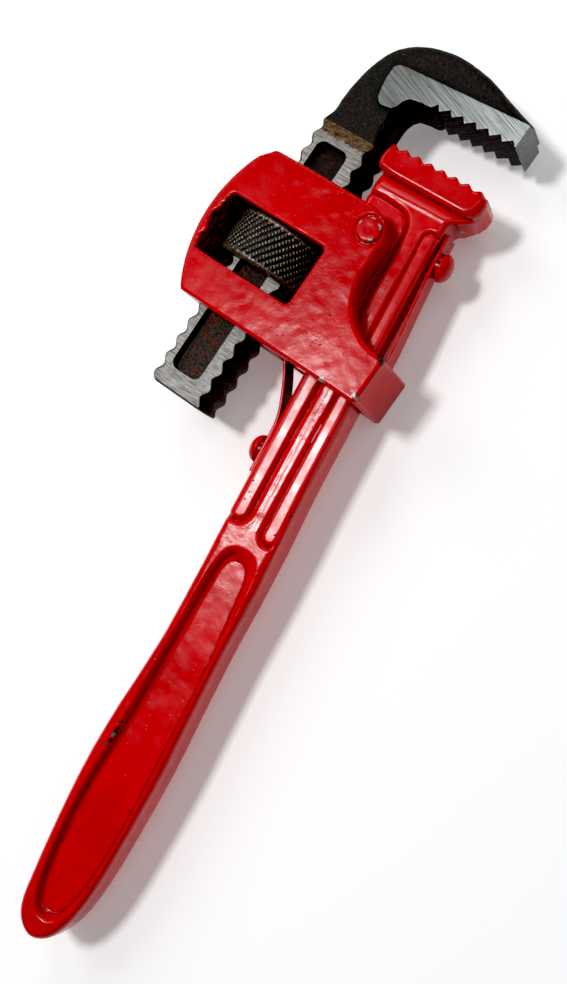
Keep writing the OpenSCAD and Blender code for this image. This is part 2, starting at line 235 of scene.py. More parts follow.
LATTICE = np.random.default_rng(11).random((64, 64, 64))       # what lumps() reads


def lumps(x, y, z, size):
    """Smooth noise from -1 to 1 whose lumps are about that size."""
    cells, parts = [], []
    for c, shift in ((x, 213.7), (y, 331.1), (z, 107.3)):
        q = np.asarray(c) / size + shift
        k = np.floor(q).astype(int)
        f = q - k
        cells.append(k)
        parts.append(f * f * (3 - 2 * f))
    total = 0
    for a in (0, 1):
        for b in (0, 1):
            for c in (0, 1):
                w = 1
                for f, bit in zip(parts, (a, b, c)):
                    w = w * (f if bit else 1 - f)
                total = total + w * LATTICE[(cells[0] + a) % 64, (cells[1] + b) % 64, (cells[2] + c) % 64]
    return 2 * total - 1


# ---------------------------------------------------------------- meshing


def gradient(field, p, e=0.012):
    """The field's unit normals at the points."""
    g = np.stack([field(*(p + d).T) - field(*(p - d).T) for d in np.eye(3) * e], axis=1)
    return g / np.maximum(np.linalg.norm(g, axis=1, keepdims=True), 1e-9)


def crossings(field, grid, lo, step, a):
    """Where the surface cuts the grid's lines along axis a: points, normals and four cells round each."""
    n = grid.shape
    b, c = (a + 1) % 3, (a + 2) % 3
    low, high = [slice(None)] * 3, [slice(None)] * 3
    low[a], high[a] = slice(0, -1), slice(1, None)
    v0, v1 = grid[tuple(low)], grid[tuple(high)]
    idx = np.argwhere((v0 < 0) != (v1 < 0))
    idx = idx[(idx[:, b] > 0) & (idx[:, c] > 0) & (idx[:, b] < n[b] - 1) & (idx[:, c] < n[c] - 1)]
    f0, f1 = v0[tuple(idx.T)], v1[tuple(idx.T)]
    t0, t1 = np.zeros(len(idx)), np.ones(len(idx))
    leaving = f0 < 0
    unit = np.eye(3)[a] * step
    base = lo + idx * step
    for _ in range(3):
        t = t0 + (t1 - t0) * np.clip(f0 / (f0 - f1), 0.05, 0.95)
        f = field(*(base + t[:, None] * unit).T)
        same = (f < 0) == (f0 < 0)
        t0, f0 = np.where(same, t, t0), np.where(same, f, f0)
        t1, f1 = np.where(same, t1, t), np.where(same, f1, f)
    p = base + (t0 + (t1 - t0) * f0 / (f0 - f1))[:, None] * unit
    eb, ec = np.eye(3, dtype=int)[b], np.eye(3, dtype=int)[c]
    ring = np.stack([idx, idx - eb, idx - eb - ec, idx - ec], axis=1)
    ring[~leaving] = ring[~leaving][:, ::-1]
    return p, gradient(field, p), ring


def best_points(points, normals, faces, cells):
    """For each cell, the point nearest to all the surface's planes through its crossings."""
    flat, who = faces.ravel(), np.repeat(np.arange(len(points)), 4)

    def total(w):
        return np.bincount(flat, weights=w[who], minlength=cells)

    count = total(np.ones(len(points)))
    centre = np.stack([total(points[:, i]) for i in range(3)], 1) / count[:, None]
    offset = (normals * points).sum(1)
    ata = np.empty((cells, 3, 3))
    for i in range(3):
        for j in range(i, 3):
            ata[:, i, j] = ata[:, j, i] = total(normals[:, i] * normals[:, j])
    atb = np.stack([total(normals[:, i] * offset) for i in range(3)], 1)
    rest = atb - np.einsum("nij,nj->ni", ata, centre)
    # a little pull to the middle of the crossings, which decides where the planes don't
    hold = 0.08 * count[:, None, None] * np.eye(3)
    return centre + np.linalg.solve(ata + hold, rest[..., None])[..., 0]


def contour(field, lo, hi, step):
    """Vertices and quads of the field's zero surface in the box. Dual contouring keeps edges crisp."""
    lo = np.array(lo, float)
    n = np.ceil((np.array(hi) - lo) / step).astype(int) + 1
    ax = [lo[i] + step * np.arange(n[i]) for i in range(3)]
    grid = np.broadcast_to(field(ax[0][:, None, None], ax[1][None, :, None], ax[2][None, None, :]), n)
    found = [crossings(field, grid, lo, step, a) for a in range(3)]
    points, normals, rings = (np.concatenate(part) for part in zip(*found))
    cell = (rings[..., 0] * n[1] + rings[..., 1]) * n[2] + rings[..., 2]
    ids, inverse = np.unique(cell, return_inverse=True)
    faces = inverse.reshape(-1, 4)
    corner = lo + step * np.stack([ids // (n[1] * n[2]), ids // n[2] % n[1], ids % n[2]], 1)
    spot = best_points(points, normals, faces, len(ids))
    return np.clip(spot, corner + 0.02 * step, corner + 0.98 * step), faces


def curve_of(field, p, e=0.6):
    """How sharply the surface bends at each vertex: positive on outer edges, negative in corners."""
    total = -6 * field(*p.T)
    for d in np.eye(3) * e:
        total = total + field(*(p + d).T) + field(*(p - d).T)
    return np.clip(total / e ** 2, -2.5, 2.5)


def spots(p, places):
    """0 to 1 near the listed places, each (x, y, height, radius)."""
    out = np.zeros(len(p))
    for x, y, z, r in places:
        d2 = (p[:, 0] - x) ** 2 + (p[:, 1] - y) ** 2 + (p[:, 2] - z) ** 2
        out = np.maximum(out, np.exp(-d2 / r ** 2))
    return out


def leaned(p):
    """Points of the housing's frame in the handle's frame, heights still from the middle plane."""
    return np.stack([p[:, 0] * COS + p[:, 1] * SIN, -p[:, 0] * SIN + p[:, 1] * COS, p[:, 2]], 1)


def piece(name, p, faces, material, nodes, slot, body=None, sharp=50, **values):
    """A mesh object from vertices in millimetres, heights from the middle plane; it hides its CAD nodes and
    joins its body.
    """
    me = bpy.data.meshes.new(name)
    p = (p + np.array([0, 0, MID])) * MM
    me.vertices.add(len(p))
    me.vertices.foreach_set("co", p.astype(np.float32).ravel())
    faces = np.asarray(faces, np.int32)
    me.loops.add(faces.size)
    me.loops.foreach_set("vertex_index", faces.ravel())
    me.polygons.add(len(faces))
    me.polygons.foreach_set("loop_start", np.arange(0, faces.size, faces.shape[1], dtype=np.int32))
    me.update(calc_edges=True)
    me.validate()
    me.shade_smooth()
    me.set_sharp_from_angle(angle=math.radians(sharp))
    for key, value in values.items():
        me.attributes.new(key, "FLOAT", "POINT").data.foreach_set("value", np.asarray(value, np.float32))
    me.materials.append(material)
    obj = bpy.data.objects.new(name, me)
    bpy.context.scene.collection.objects.link(obj)
    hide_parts(*nodes)
    if body:
        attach(obj, body)
    print("PIECE", name, len(p), "vertices", len(faces), "faces")
    return obj


# ---------------------------------------------------------------- the handle's shape

BAR = Outline(smooth_path(HANDLE_EDGE, 3))
HEEL_SIDE = Outline(HEEL)
FOOT_SIDE = Outline(HEEL_FOOT)
LEFT_PAD = Outline(
    [(0.4, -74.9), (1.95, -74.9), (1.95, -50), (2.1, -38), (2.5, -10.7)] + arc(0.3, 4.6, 2.7, 0, 80, 8)
    + [(-4, 8.0), (-16, 8.5), (-16, -20), (0.4, -20)], margin=8)
RIGHT_PAD = Outline([(12.2, -77.5), (12.4, -77.5), (12.6, 5.2), (12.3, 5.2)], margin=8)
RIM_SIDE = Outline(smooth_path(RECESS_RIM, 3, closed=True))
FLOOR_SIDE = Outline(smooth_path(RECESS_FLOOR, 3, closed=True))

# each groove: the pad it runs round, how far off, its width, where it widens as it goes down, and its depth
GROOVES = ((LEFT_PAD, 1.7, 2.1, (-25, -45), 0.95), (RIGHT_PAD, 1.4, 1.6, (-25, -60), 0.80))


def groove_drop(x, y, s):
    """How far the two creased grooves beside the ribs go below the face."""
    drop = 0
    blunt = 1.0 + 1.1 * ease(-8, 4, y)
    keep = (1 - ease(13.3, 14.5, x) * ease(-50, -74, y)) * ease(COVE_Y - 0.1, COVE_Y - 1.9, s)
    for pad, offset, width, widening, deep in GROOVES:
        t = (pad(x, y) - offset) / (width + 0.4 * ease(*widening, y))
        rise = np.minimum(np.clip(t / 0.42, 0, 1), np.clip((1 - t) / 0.58, 0, 1))
        drop = drop + deep * keep * rise ** blunt
    return drop


def recess_drop(x, y):
    """Depth of the grip's recess: its wall runs from the rim to the floor, steeper on the left."""
    a = np.maximum(-RIM_SIDE(x, y), 0)
    b = np.maximum(FLOOR_SIDE(x, y), 0)
    t = a / (a + b + 1e-6)
    steep = 0.84 * (1 - np.cos(np.pi / 2 * np.clip(t / 0.55, 0, 1))) + 0.16 * ease(0.5, 1.05, t)
    gentle = 0.6 * (1 - np.cos(np.pi / 2 * t)) + 0.4 * ease(0, 1, t)
    return RECESS_DEPTH * (gentle + (steep - gentle) * ease(8, 4.5, x))


def handle_face(x, y):
    """Height of the handle's faces over the middle plane."""
    s = y + 0.08 * x
    cove = COVE_DROP * np.clip((s - COVE_Y) / COVE_RUN, 0, 1) ** 1.3
    h = HANDLE_HALF - 0.05 + 0.10 * ease(COVE_Y - 1.2, COVE_Y - 0.1, s) - cove
    rib = ease(2.3, 1.2, np.abs(x - RIB_X)) * ease(-80, -75, y) * ease(9, 5, y)
    score = ease(0.6, 0.0, np.abs(x - SCORE_X))
    h = h - (RIB_DROP + SCORE_DEPTH * score) * rib
    return h - groove_drop(x, y, s) - recess_drop(x, y)


def heel_field(x, y, h):
    """The heel jaw, a block thicker than the bar, with rounded teeth along its top."""
    phase = (x - HEEL_TOOTH_X) / HEEL_TOOTH_STEP
    phase = phase + 0.06 * np.sin(2 * np.pi * phase)
    crest = HEEL_TOP - HEEL_FALL * (x - HEEL_TOOTH_X)
    top = crest - HEEL_TOOTH_DEPTH * (1 - np.sqrt(np.cos(np.pi * phase) ** 2 + 0.02))
    side = round_max(HEEL_SIDE(x, y), 0.85 * (y - top), 0.35)
    edge = 1.1 - 0.4 * ease(17.6, 19.6, y) + 1.5 * ease(16.0, 20.0, x)
    return round_max(side + 0.02 * h, h - HEEL_HALF, edge)


def handle_field(x, y, z):
    """The handle's forging with its bores."""
    h = np.abs(z)
    edge = 1.5 + 0.5 * ease(6, 2, x) + 0.7 * ease(2, 10, x) * ease(-76, -90, y)
    side = round_min(BAR(x, y), FOOT_SIDE(x, y), 1.2)
    bar = round_max(side + 0.045 * h, h - handle_face(x, y), edge)
    d = np.minimum(bar, heel_field(x, y, h))
    front, back = np.hypot(y - FRONT_RIVET_Y, z), np.hypot(y - BACK_RIVET_Y, z)
    hole_r = PIN_R + 0.1
    d = np.minimum(d, round_max(front - SEAT_R, x - FRONT_SIDE - SEAT, 0.2) + 0 * x)
    d = np.maximum(d, PIVOT_R + 0.05 - np.hypot(x, y))
    d = np.maximum(d, np.minimum(hole_r - front, x - FRONT_SIDE + PIN_HOLE))
    return np.maximum(d, np.minimum(hole_r - back, BACK_SIDE + PIN_HOLE - x))


# ---------------------------------------------------------------- the housing's shape

HOUSING_SIDE = Outline(
    [(20.8, -37.3), (21.7, -36.6), (21.9, -25)] + arc(20.4, -8.8, 15.7, -86, -178, 24)
    + arc(-3.2, -2.2, 7.9, 0, 90, 18) + [(-20, 5.7), (-31.8, 5.5)] + arc(-32.4, 3.6, 1.9, 85, 155, 6)
    + arc(-0.6, -15.6, 40.0, 154, 210.5, 28) + [(-34.2, -37)])
WINDOW_SIDE = Outline(WINDOW, step=0.12)


def housing_field(u, v, z):
    """The housing: its window is ragged on the left, and a groove is hammered round the pivot."""
    h = np.abs(z)
    d = round_max(HOUSING_SIDE(u, v), h - HOUSING_HALF, 0.95)
    torn = ease(-34.5, -36.5, u) * (0.45 * lumps(u, v, z, 1.7) + 0.3 * lumps(u + 40, v, z, 0.8))
    d = round_max(d, -(WINDOW_SIDE(u, v) + torn), 0.45)
    way = np.maximum(np.hypot(u - SHANK_U, z) - WAY_R, h - SLOT_HALF)
    slot = np.minimum(box_2d(u, v, *SLOT), box_2d(u, v, *SLOT_MOUTH))
    slot = np.maximum(slot, -box_2d(u, v, *WEB))
    d = round_max(d, -np.minimum(way + 0 * v, np.maximum(slot, h - SLOT_HALF)), 0.35)
    r = np.hypot(u, v)
    d = np.maximum(d, 0.5 - np.hypot(r - PIVOT_RING_R, h - HOUSING_HALF - 0.16))
    return np.maximum(d, PIVOT_R - r)


# ---------------------------------------------------------------- the hook jaw's shape

HOOK_SIDE = Outline(
    np.concatenate([smooth_path(HOOK_INNER[:8], 3), HOOK_INNER[8:], smooth_path(HOOK_OUTER, 3)]))
TOOTH_POINTS = [
    (u + du, TOOTH_V + 0.045 * (u + 5) + dv)
    for u in (TOOTH_U + i * TOOTH_STEP for i in range(TEETH))
    for du, dv in ((0, TOOTH_DEPTH), (1.25, 0))]
BOSS_SIDE = Outline(
    [(-16.4, 30), (-15.4, 31.1), (-14.6, 33.1), (-13.4, 34.3), (-10.6, 34.8), (-8, 34.9), (-7.2, 35.2)]
    + TOOTH_POINTS + [(17, 36.4), (17.1, 42.4), (-19, 40.9), (-20.9, 40.6)]
    + arc(-20.3, 38.8, 1.8, 110, 178, 6)
    + [(-22.1, 36.5), (-21.8, 34), (-21.3, 31.8)] + arc(-18.8, 32.2, 2.5, 195, 268, 8), step=0.08)


def thread_at(a, v, extra):
    """Radius of the thread at angle a and height v, extra more for the nut's bore."""
    return THREAD_MID + extra + THREAD_D / 2 * np.cos(2 * np.pi * (v - PHASE) / PITCH - a + np.pi / 2)


def hook_field(u, v, z):
    """The hook with its ground boss and leaning nose, and the threaded shank with its flats and pocket."""
    h = np.abs(z)
    shank_u = u
    u = u - 0.075 * (HOOK_HALF - z) * ease(8, 16, u)
    body = round_max(HOOK_SIDE(u, v), h - HOOK_HALF, 0.6 + 2.1 * ease(19.8, 24, v))
    boss = round_max(BOSS_SIDE(u, v), h - BOSS_HALF, 0.12)
    du = shank_u - SHANK_U
    thread = 0.85 * (np.hypot(du, z) - thread_at(np.arctan2(z, du), v, 0))
    shank = round_max(np.maximum(thread, v - THREAD_TOP), h - FLAT_HALF, 0.12)
    shank = round_max(shank, SHANK_END - v, 0.8)
    shank = np.maximum(shank, -round_max(box_2d(u, v, *POCKET), FLAT_HALF - POCKET_DEPTH - h, 0.6))
    return np.minimum(np.minimum(body, boss), shank)


# ---------------------------------------------------------------- round parts


def from_groove(t):
    """0 in the middle of each groove of a knurl, 1 half way to the next."""
    return 2 * np.minimum(t % 1.0, 1 - t % 1.0)


def nut_mesh(turn=672, rows=76, bore=30):
    """Knurled ring with a threaded bore: vertices, quads and how deep in the knurl each vertex lies."""
    a = np.linspace(0, 2 * np.pi, turn, endpoint=False)[None, :]
    low, top, rim = NUT_LOW + 0.9, NUT_TOP - 0.9, NUT_R - NUT_BEVEL
    v = np.linspace(low, top, rows)[:, None]
    round_u, round_z = 9 * np.cos(a), 9 * np.sin(a)
    main = KNURL_MAIN * (a / (2 * np.pi) + v / KNURL_LEAD) + 0.06 * lumps(round_u, v, round_z, 3.0)
    cross = KNURL_CROSS * (a / (2 * np.pi) - v / KNURL_LEAD) + 0.10 * lumps(round_u, v, round_z + 40, 2.0)
    wide = np.clip(1.1 - from_groove(main) / 0.62, 0, 1)
    thin = np.clip(1.1 - from_groove(cross) / 0.66, 0, 1)
    cut = np.maximum(wide, 0.62 * thin) * ease(0, 0.8, v - low) * ease(0, 0.8, top - v)
    out_r = NUT_R - KNURL_DEPTH * cut - 0.02
    bv = np.linspace(NUT_TOP - 0.35, NUT_LOW + 0.35, bore)[:, None]
    in_r = thread_at(a, bv, NUT_GAP) + 0 * a

    def ring(r, v0):
        return np.full((1, turn), r), np.full((1, turn), v0)

    outer_end = [(NUT_R - 0.1, 0.72), (NUT_R - 0.85, 0.1), (rim, 0.0), (12.0, 0.0), (NUT_BORE_RIM, 0.0)]
    blocks = [(out_r, v + 0 * a)] + [ring(r, NUT_TOP - down) for r, down in outer_end]
    blocks += [(in_r[:1] + 0.3, np.full((1, turn), NUT_TOP)), (in_r, bv + 0 * a)]
    blocks += [(in_r[-1:] + 0.3, np.full((1, turn), NUT_LOW))]
    blocks += [ring(r, NUT_LOW + above) for r, above in reversed(outer_end)]
    r = np.concatenate([b[0] for b in blocks])
    w = np.concatenate([b[1] for b in blocks])
    deep = np.concatenate([cut] + [np.zeros_like(b[0]) for b in blocks[1:]])
    m = len(r)
    p = np.stack([SHANK_U + r * np.cos(a), w, r * np.sin(a)], -1).reshape(-1, 3)
    i, j = np.meshgrid(np.arange(m), np.arange(turn), indexing="ij")
    i2, j2 = (i + 1) % m, (j + 1) % turn
    faces = np.stack([i * turn + j, i2 * turn + j, i2 * turn + j2, i * turn + j2], -1).reshape(-1, 4)
    return p, faces, deep.ravel()


def lathe(profile, turn, axis, origin, wobble, seed=0.0):
    """Closed solid turned from (distance along the axis, radius) pairs that start and end near radius 0."""
    axis = np.array(axis, float)
    side = np.cross(axis, [0.3, 0.5, 0.8])
    side /= np.linalg.norm(side)
    up = np.cross(axis, side)
    a = np.linspace(0, 2 * np.pi, turn, endpoint=False)
    prof = np.array(profile, float)
    r = prof[:, 1][:, None] * np.ones(turn)
    t = prof[:, 0][:, None] * np.ones(turn)
    p = (np.array(origin) + t[..., None] * axis + r[..., None]
         * (np.cos(a)[:, None] * side + np.sin(a)[:, None] * up)).reshape(-1, 3)
    p = p + wobble * np.stack([lumps(*(p + seed + k * 17.3).T, 2.2) for k in range(3)], 1)
    m = len(prof)
    i, j = np.meshgrid(np.arange(m - 1), np.arange(turn), indexing="ij")
    i2, j2 = i + 1, (j + 1) % turn
    faces = np.stack([i * turn + j, i * turn + j2, i2 * turn + j2, i2 * turn + j], -1).reshape(-1, 4)
    caps = []
    for row, flip in ((0, True), (m - 1, False)):
        k = row * turn + np.arange(turn)
        mid = len(p)
        p = np.vstack([p, p[k].mean(0)])
        for q in range(0, turn, 2):
            quad = [mid, k[q], k[(q + 1) % turn], k[(q + 2) % turn]]
            caps.append(quad[::-1] if flip else quad)
    return p, np.vstack([faces, np.array(caps)])


def dense(profile, n):
    """The profile with n steps to each of its segments."""
    q = np.array(profile, float)
    steps = [tuple(a + (b - a) * k / n) for a, b in zip(q[:-1], q[1:]) for k in range(n)]
    return steps + [tuple(q[-1])]


# ---------------------------------------------------------------- materials


class Shader:
    """A principled material whose textures are in millimetres of the piece's own frame."""

    def __init__(self, name):
        self.mat = bpy.data.materials.new(name)
        self.mat.use_nodes = True
        self.tree = self.mat.node_tree
        self.tree.nodes.clear()
        self.out = self.node("ShaderNodeOutputMaterial")
        self.bsdf = self.node("ShaderNodeBsdfPrincipled")
        self.tree.links.new(self.bsdf.outputs[0], self.out.inputs[0])
        self.p = self.vector("SCALE", self.node("ShaderNodeTexCoord").outputs["Object"], scale=1.0 / MM)
        self.x, self.y, self.z = self.split(self.p)

    def node(self, kind, **props):
        """A new node with those properties."""
        n = self.tree.nodes.new(kind)
        for key, value in props.items():
            setattr(n, key, value)
        return n

    def put(self, socket, value):
        """Links the value to the socket, or sets it there."""
        if isinstance(value, bpy.types.NodeSocket):
            self.tree.links.new(value, socket)
        else:
            socket.default_value = value

    def set(self, **values):
        """Sets the principled shader's inputs by their names in lower case."""
        for key, value in values.items():
            if isinstance(value, tuple) and len(value) == 3 and "color" in key:
                value = (*value, 1.0)
            self.put(self.bsdf.inputs[key.replace("_", " ").title().replace("Ior", "IOR")], value)

    def math(self, op, a, b=0.0, c=0.0, clamp=False):
        """Result of a math node on values or sockets."""
        n = self.node("ShaderNodeMath", operation=op, use_clamp=clamp)
        for socket, value in zip(n.inputs, (a, b, c)):
            self.put(socket, value)
        return n.outputs[0]

    def add(self, a, b):
        """Sum."""
        return self.math("ADD", a, b)

    def mul(self, a, b):
        """Product."""
        return self.math("MULTIPLY", a, b)

    def vector(self, op, a, b=None, scale=None):
        """Result of a vector math node."""
        n = self.node("ShaderNodeVectorMath", operation=op)
        self.put(n.inputs[0], a)
        if b is not None:
            self.put(n.inputs[1], b)
        if scale is not None:
            self.put(n.inputs["Scale"], scale)
        return n.outputs["Value" if op == "DOT_PRODUCT" else "Vector"]

    def split(self, v):
        """The x, y and z of a vector."""
        n = self.node("ShaderNodeSeparateXYZ")
        self.put(n.inputs[0], v)
        return n.outputs[:3]

    def join(self, x, y, z):
        """A vector of x, y and z."""
        n = self.node("ShaderNodeCombineXYZ")
        for socket, value in zip(n.inputs, (x, y, z)):
            self.put(socket, value)
        return n.outputs[0]

    def noise(self, scale, detail=3.0, rough=0.55, at=None, warp=0.0):
        """Noise of scale features to a millimetre, from 0 to 1."""
        n = self.node("ShaderNodeTexNoise")
        self.put(n.inputs["Vector"], at or self.p)
        n.inputs["Scale"].default_value = scale
        n.inputs["Detail"].default_value = detail
        n.inputs["Roughness"].default_value = rough
        n.inputs["Distortion"].default_value = warp
        return n.outputs["Fac"]

    def cells(self, scale):
        """Distance to the nearest of scattered points, scale of them to a millimetre."""
        n = self.node("ShaderNodeTexVoronoi")
        self.put(n.inputs["Vector"], self.p)
        n.inputs["Scale"].default_value = scale
        return n.outputs["Distance"]

    def step(self, value, lo, hi, out0=0.0, out1=1.0):
        """Smooth step of the value from out0 at lo to out1 at hi."""
        n = self.node("ShaderNodeMapRange", interpolation_type="SMOOTHSTEP", clamp=True)
        for socket, v in zip(n.inputs, (value, lo, hi, out0, out1)):
            self.put(socket, v)
        return n.outputs[0]

    def mix(self, fac, a, b):
        """Color a where fac is 0 and b where it is 1."""
        n = self.node("ShaderNodeMix", data_type="RGBA", clamp_factor=True)
        self.put(n.inputs[0], fac)
        for socket, value in ((n.inputs[6], a), (n.inputs[7], b)):
            self.put(socket, (*value, 1.0) if isinstance(value, tuple) else value)
        return n.outputs[2]

    def attr(self, name):
        """A value stored with the vertices, 0 where the piece has none of that name."""
        return self.node("ShaderNodeAttribute", attribute_name=name).outputs["Fac"]

    def bump(self, height, distance_mm, strength=1.0, after=None):
        """Normal bumped by the height, on top of the normal given."""
        n = self.node("ShaderNodeBump")
        self.put(n.inputs["Height"], height)
        n.inputs["Distance"].default_value = distance_mm * MM
        n.inputs["Strength"].default_value = strength
        if after is not None:
            self.put(n.inputs["Normal"], after)
        return n.outputs[0]


def chipped(s, wear, curve):
    """Where the coat is chipped off, by the wear value (which also marks painted shade) and on sharp edges,
    and the lip round the worn places.
    """
    ragged = s.math("MULTIPLY_ADD", s.noise(1.5, 6.0, 0.68, warp=0.4), 1.9, -0.40)
    level = s.math("SUBTRACT", wear, s.math("MAXIMUM", ragged, 0.12))
    edge_chip = s.mul(s.step(curve, 1.0, 1.9), s.step(s.noise(0.32, 6.0, 0.7), 0.655, 0.675))
    chip = s.math("MAXIMUM", s.step(level, 0.0, 0.05), edge_chip)
    return chip, s.math("SUBTRACT", s.step(level, -0.07, 0.0), chip, clamp=True)


def under_coat(s, bare):
    """What a chip shows: forging scale, or steel where it is bare."""
    scale = s.mix(s.step(s.noise(2.2, 4.0), 0.42, 0.6), (0.012, 0.011, 0.011), (0.05, 0.05, 0.045))
    steel = s.mix(s.step(s.noise(1.8, 5.0), 0.4, 0.62), (0.16, 0.17, 0.15), (0.42, 0.44, 0.40))
    return s.mix(s.step(bare, 0.3, 0.6), scale, steel)


def red_enamel(name, shade=1.0, ior=1.333):
    """Thick glossy enamel over a rough forging, pitted, thin on its edges and chipped to scale or steel,
    with painted shade in its creases and where the deep attribute lies.
    """
    s = Shader(name)
    curve, wear, bare = s.attr("curve"), s.attr("wear"), s.attr("bare")
    broad = s.noise(0.045, 3.0)
    red = s.mix(s.step(broad, 0.35, 0.65), (0.53 * shade, 0.004, 0.006), (0.625 * shade, 0.007, 0.010))
    red = s.mix(s.mul(s.step(s.noise(0.5, 5.0, 0.65), 0.52, 0.72), 0.2), red, (0.40 * shade, 0.003, 0.006))
    # darker red in creases and corners: pooled paint and painted shade
    red = s.mix(s.mul(s.step(curve, -0.25, -1.2), 0.75), red, (0.27, 0.001, 0.003))
    pit = s.mul(s.step(s.cells(0.42), 0.13, 0.07), s.step(s.noise(0.11, 2.0), 0.56, 0.62))
    red = s.mix(s.mul(pit, 0.85), red, (0.06, 0.004, 0.004))
    chip, lip = chipped(s, wear, curve)
    red = s.mix(s.mul(lip, 0.5), red, (0.25, 0.002, 0.004))
    # painted shade, in patches, where the deep attribute lies: the walls of the housing's window and the
    # leaf rivets' necks
    grime = s.mul(s.attr("deep"), s.step(s.noise(0.35, 5.0, 0.65), 0.30, 0.55, 1.0, 0.45))
    red = s.mix(grime, red, (0.02, 0.001, 0.001))
    color = s.mix(chip, red, under_coat(s, bare))
    rough = s.step(s.noise(0.2, 4.0), 0.3, 0.7, 0.17, 0.26)
    rough = s.math("MULTIPLY_ADD", chip, 0.25, rough)
    peel = s.add(s.noise(0.32, 3.0, 0.5), s.mul(s.noise(1.1, 4.0, 0.55), 0.24))
    dent = s.mul(s.step(s.cells(0.75), 0.20, 0.02), s.step(s.noise(0.21, 2.0), 0.48, 0.60))
    peel = s.math("MULTIPLY_ADD", dent, -0.8, peel)
    height = s.bump(s.mul(peel, s.math("MULTIPLY_ADD", s.attr("calm"), -0.72, 1.0)), 0.07, 0.9)
    height = s.bump(s.math("MULTIPLY_ADD", chip, -1.0, s.mul(pit, -0.6)), 0.10, 1.0, height)
    metal = s.mul(chip, s.mul(bare, 0.6))
    s.set(base_color=color, roughness=rough, metallic=metal, normal=height, ior=ior)
    return s.mat


def local_axes(s):
    """u and v of the housing's frame, in millimetres, in a shader."""
    u = s.vector("DOT_PRODUCT", s.p, (COS, -SIN, 0.0))
    v = s.vector("DOT_PRODUCT", s.p, (SIN, COS, 0.0))
    return u, v


def forging_scale(s):
    """Black scale with grit and rust, with painted shade: darker on edges and in corners, and in patches
    where the piece's shade mask lies.
    """
    curve = s.attr("curve")
    grain = s.noise(1.5, 6.0, 0.72)
    scale = s.mix(s.step(grain, 0.36, 0.60), (0.004, 0.0037, 0.0033), (0.016, 0.014, 0.012))
    scale = s.mix(s.step(s.noise(2.6, 5.0, 0.7), 0.58, 0.70), scale, (0.11, 0.10, 0.08))
    rust = s.mul(s.step(s.noise(0.55, 6.0, 0.7), 0.53, 0.66), s.step(s.noise(0.12, 3.0), 0.42, 0.58))
    scale = s.mix(s.mul(rust, 0.75), scale, (0.075, 0.016, 0.008))
    # painted shade: darker on sharp outer edges and in corners
    scale = s.mix(s.step(curve, 0.25, 1.2), scale, (0.006, 0.006, 0.006))
    scale = s.mix(s.step(curve, -0.2, -1.0), scale, (0.004, 0.003, 0.003))
    # painted shade, in patches, from the piece's shade mask
    shade_patches = s.mul(s.attr("grime"), s.step(s.noise(0.5, 4.0, 0.6), 0.25, 0.6, 1.0, 0.7))
    return s.mix(s.step(shade_patches, 0.15, 0.8, 0.0, 0.9), scale, (0.0035, 0.003, 0.003))


def ground_face(s, u):
    """Ground steel, with painted reflection making it brighter toward the nose, and its grinding lines."""
    along = s.add(s.mul(s.x, 0.12), s.mul(s.y, 0.06))
    across = s.add(s.mul(s.x, 2.3), s.mul(s.y, 4.6))
    lines = s.noise(1.0, 4.0, 0.65, at=s.join(along, across, s.z))
    # painted reflection: the ground faces go from dull to shiny toward the nose
    sheen_toward_nose = s.step(u, -22.0, 16.0)
    dull = s.mix(sheen_toward_nose, (0.050, 0.053, 0.050), (0.135, 0.145, 0.145))
    shiny = s.mix(sheen_toward_nose, (0.19, 0.20, 0.19), (0.48, 0.52, 0.52))
    bright = s.mix(s.step(lines, 0.34, 0.66), dull, shiny)
    blotch = s.noise(0.35, 4.0, 0.6)
    bright = s.mix(s.mul(s.step(blotch, 0.56, 0.75), 0.35), bright, (0.09, 0.09, 0.085))
    speck = s.step(s.cells(0.30), 0.10, 0.05)
    return s.mix(s.mul(speck, 0.8), bright, (0.05, 0.04, 0.035)), lines


def milled_flat(s, u, v):
    """The shank's milled flats, with a ragged brown band across their top, and their milling lines."""
    mill = s.noise(1.0, 4.0, 0.65, at=s.join(s.mul(u, 0.22), s.mul(v, 3.2), s.z))
    flat = s.mix(s.step(mill, 0.32, 0.66), (0.13, 0.125, 0.115), (0.40, 0.395, 0.38))
    flat = s.mix(s.mul(s.step(s.noise(0.7, 5.0, 0.65), 0.52, 0.7), 0.6), flat, (0.16, 0.10, 0.06))
    streak = s.noise(1.0, 6.0, 0.72, at=s.join(s.mul(u, 0.5), s.mul(v, 1.9), s.z))
    stain = s.mix(s.step(streak, 0.38, 0.64), (0.025, 0.010, 0.006), (0.16, 0.095, 0.048))
    stain = s.mix(s.mul(s.step(s.noise(2.0, 4.0, 0.7), 0.57, 0.68), 0.7), stain, (0.30, 0.25, 0.18))
    ragged = s.mul(s.math("SUBTRACT", s.noise(0.8, 5.0, 0.65), 0.5), 3.2)
    band = s.mul(s.step(s.add(v, ragged), 16.4, 17.4), s.step(v, THREAD_TOP + 0.3, THREAD_TOP - 0.1))
    top = s.step(s.add(v, s.mul(s.noise(0.5, 4.0), 6.0)), 13.0, 19.0)
    return s.mix(s.math("MAXIMUM", band, s.mul(top, 0.25)), flat, stain), mill


def pocket_floor(s, v):
    """The pocket between the flats, rusty and lighter toward the shank's end."""
    light = s.mix(s.step(v, 0.0, -40.0), (0.018, 0.011, 0.009), (0.082, 0.058, 0.046))
    pocket = s.mix(s.step(s.noise(1.3, 6.0, 0.75), 0.34, 0.72), (0.004, 0.003, 0.0025), light)
    rust = s.mul(s.step(s.noise(0.42, 5.0, 0.7), 0.53, 0.64), s.step(v, 4.0, -34.0, 0.3, 1.0))
    return s.mix(rust, pocket, (0.13, 0.020, 0.009))


